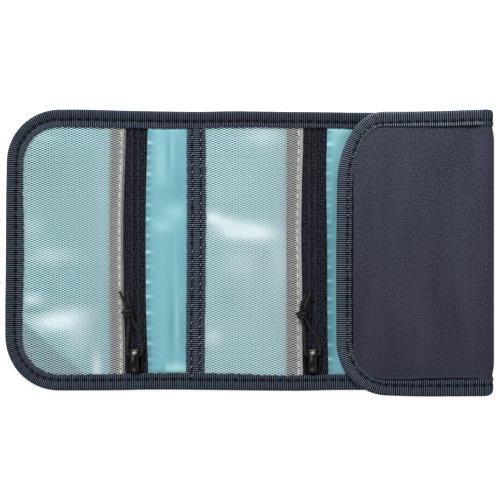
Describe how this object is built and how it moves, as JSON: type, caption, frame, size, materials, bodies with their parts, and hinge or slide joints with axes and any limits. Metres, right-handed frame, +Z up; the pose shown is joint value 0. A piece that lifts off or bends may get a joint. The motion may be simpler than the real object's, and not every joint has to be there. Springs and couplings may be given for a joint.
{
  "type": "memory card wallet",
  "caption": "Soft folding card wallet lying open: ribbon-edged panels with zipped mesh pockets, a fold between them, and an end flap folded over.",
  "frame": {"origin": "middle of the whole laid-open outline, on the surface that the wallet lies on", "axes": "+X along the opened wallet, from the left panel to the folded flap; +Y towards the top edge, away from the closed sliders; +Z up, out of the pockets"},
  "size_m": [0.2092, 0.1218, 0.0098],
  "materials": {
    "shell_cloth": "matt plain-weave outer cloth, dark slate blue",
    "edge_ribbon": "ribbed navy edging ribbon, folded and stitched",
    "zip_tape": "flat woven zip tape, near-black navy",
    "coil_nylon": "nylon coil, dark",
    "satin_lining": "shiny light blue lining cloth",
    "pocket_mesh": "open knitted mesh, pale grey",
    "board": "plain stiffener sheet, hidden",
    "hook_tape": "hook and loop patch, dark",
    "slider_metal": "glossy dark gunmetal",
    "pull_cord": "thin braided cord, near black"
  },
  "bodies": {
    "centre_panel": {"shell_centre": "shell_cloth", "board_centre": "board", "lining_centre": "satin_lining", "mesh_pocket_centre": "pocket_mesh", "zip_tape_centre_pocket": "zip_tape", "zip_tape_centre_strip": "zip_tape", "zip_coil_centre_pocket": "coil_nylon", "zip_coil_centre_strip": "coil_nylon", "lining_strip_centre": "satin_lining", "binding_centre_top": "edge_ribbon", "binding_centre_bottom": "edge_ribbon", "fold_shell_left": "shell_cloth", "fold_lining_left": "satin_lining", "divider_tape": "edge_ribbon", "fold_binding_left_top": "edge_ribbon", "fold_binding_left_bottom": "edge_ribbon", "fold_shell_right": "shell_cloth", "fold_lining_right": "satin_lining", "fold_binding_right_top": "edge_ribbon", "fold_binding_right_bottom": "edge_ribbon"},
    "left_panel": {"shell_left": "shell_cloth", "board_left": "board", "lining_left": "satin_lining", "mesh_pocket_left": "pocket_mesh", "zip_tape_left_pocket": "zip_tape", "zip_tape_left_strip": "zip_tape", "zip_coil_left_pocket": "coil_nylon", "zip_coil_left_strip": "coil_nylon", "lining_strip_left": "satin_lining", "binding_left": "edge_ribbon", "loop_patch": "hook_tape"},
    "flap": {"shell_flap": "shell_cloth", "board_flap": "board", "lining_flap": "satin_lining", "binding_flap": "edge_ribbon", "hook_patch": "hook_tape"},
    "left_slider": {"slider_left": "slider_metal"},
    "centre_slider": {"slider_centre": "slider_metal"},
    "left_pull": {"pull_cord_left": "pull_cord"},
    "centre_pull": {"pull_cord_centre": "pull_cord"}
  },
  "joints": [
    {"name": "left_panel_fold", "type": "hinge", "parent": "centre_panel", "child": "left_panel", "pos_m": [-0.02295, 0.0009, 0.0079], "axis": [0, 1, 0], "range_deg": [0, 179], "deforming": ["fold_shell_left", "fold_lining_left", "divider_tape", "fold_binding_left_top", "fold_binding_left_bottom"]},
    {"name": "flap_open", "type": "hinge", "parent": "centre_panel", "child": "flap", "pos_m": [0.1055, -0.0001, 0.00475], "axis": [0, 1, 0], "range_deg": [0, 179], "deforming": ["fold_shell_right", "fold_lining_right", "fold_binding_right_top", "fold_binding_right_bottom"]},
    {"name": "left_zip_slide", "type": "slide", "parent": "left_panel", "child": "left_slider", "axis": [0, 1, 0], "range_m": [0, 0.094]},
    {"name": "centre_zip_slide", "type": "slide", "parent": "centre_panel", "child": "centre_slider", "axis": [0, 1, 0], "range_m": [0, 0.094]},
    {"name": "left_pull_swing", "type": "hinge", "parent": "left_slider", "child": "left_pull", "pos_m": [-0.04925, -0.0442, 0.00645], "axis": [-1, 0, 0], "range_deg": [-140, 0]},
    {"name": "centre_pull_swing", "type": "hinge", "parent": "centre_slider", "child": "centre_pull", "pos_m": [0.02685, -0.0442, 0.00645], "axis": [-1, 0, 0], "range_deg": [-140, 0]}
  ]
}
